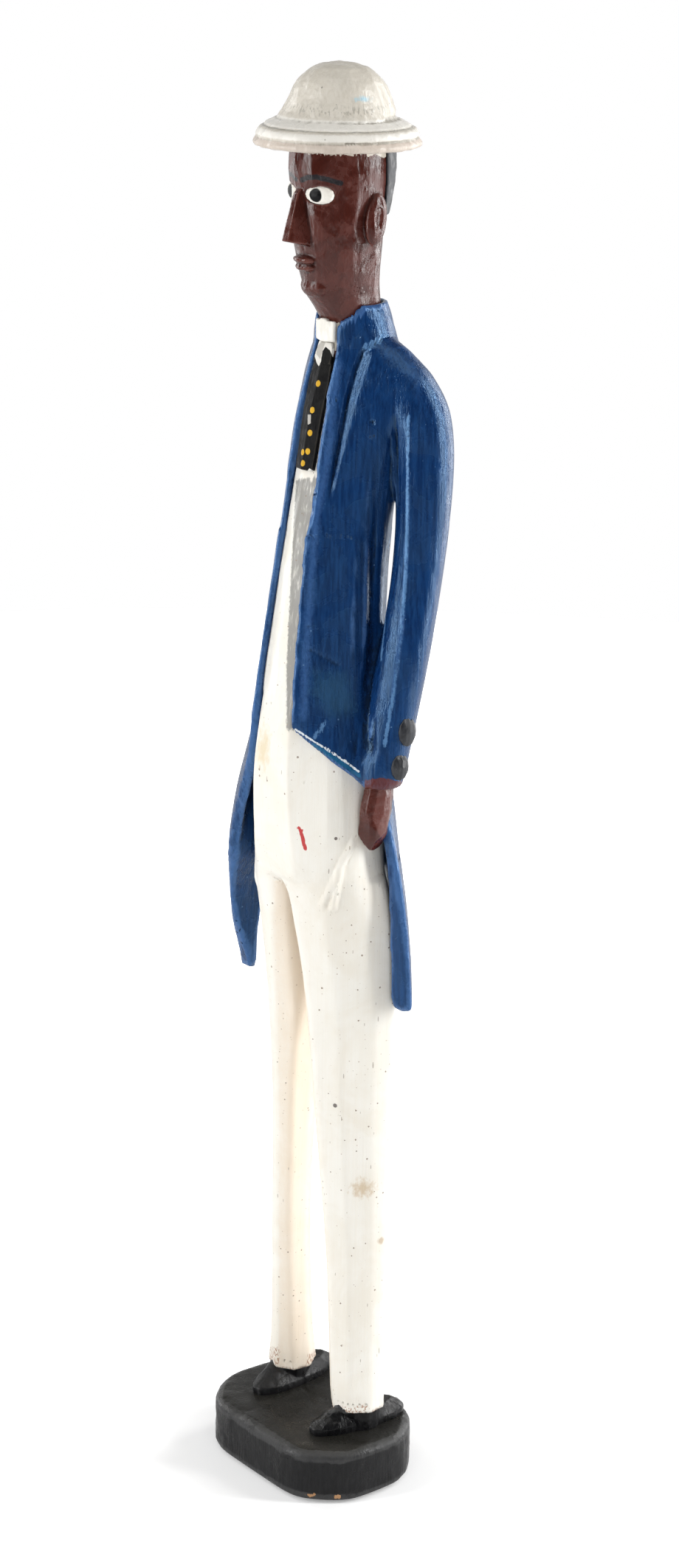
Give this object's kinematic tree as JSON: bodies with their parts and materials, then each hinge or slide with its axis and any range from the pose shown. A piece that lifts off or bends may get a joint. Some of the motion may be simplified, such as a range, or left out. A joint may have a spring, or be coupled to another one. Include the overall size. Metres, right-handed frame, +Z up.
{
  "type": "carved wooden figure",
  "caption": "Tall slender carved and painted wooden man in a sun helmet, long open blue coat, dotted tie and white trousers, standing hands in pockets on an octagonal plinth.",
  "frame": {"origin": "centre of the plinth's underside, on the surface that the figure stands on", "axes": "the figure faces -Y, its left side is +X, up is +Z"},
  "size_m": [0.0987, 0.0705, 0.6],
  "materials": {
    "black_paint": "black gloss paint over carved wood, worn to bare wood at the plinth's lower edge",
    "white_paint": "cream white gloss paint over carved wood, stained and speckled with age",
    "blue_paint": "deep blue gloss paint over carved wood, with brush marks and chipped edges",
    "charcoal_paint": "dark grey paint over carved wood",
    "brown_paint": "red-brown gloss paint over carved wood",
    "eye_paint": "white gloss paint with a black round painted on it",
    "helmet_paint": "off-white gloss paint over carved wood, greyed in the grooves"
  },
  "bodies": {
    "root": {"plinth": "black_paint", "left_shoe": "black_paint", "right_shoe": "black_paint", "left_trouser_leg": "white_paint", "right_trouser_leg": "white_paint", "trouser_seat": "white_paint", "shirt_front": "white_paint", "shirt_collar": "white_paint", "tie_knot": "black_paint", "tie_blade": "black_paint", "coat_back": "blue_paint", "left_coat_front": "blue_paint", "right_coat_front": "blue_paint", "left_coat_tail": "blue_paint", "right_coat_tail": "blue_paint", "coat_collar": "blue_paint", "left_lapel": "blue_paint", "right_lapel": "blue_paint", "left_sleeve": "blue_paint", "right_sleeve": "blue_paint", "left_upper_cuff_button": "charcoal_paint", "left_lower_cuff_button": "charcoal_paint", "right_upper_cuff_button": "charcoal_paint", "right_lower_cuff_button": "charcoal_paint", "left_hand": "brown_paint", "right_hand": "brown_paint", "head": "brown_paint", "left_ear": "brown_paint", "right_ear": "brown_paint", "left_eye": "eye_paint", "right_eye": "eye_paint", "hair": "charcoal_paint", "helmet_brim": "helmet_paint", "helmet_crown": "helmet_paint"}
  },
  "joints": []
}
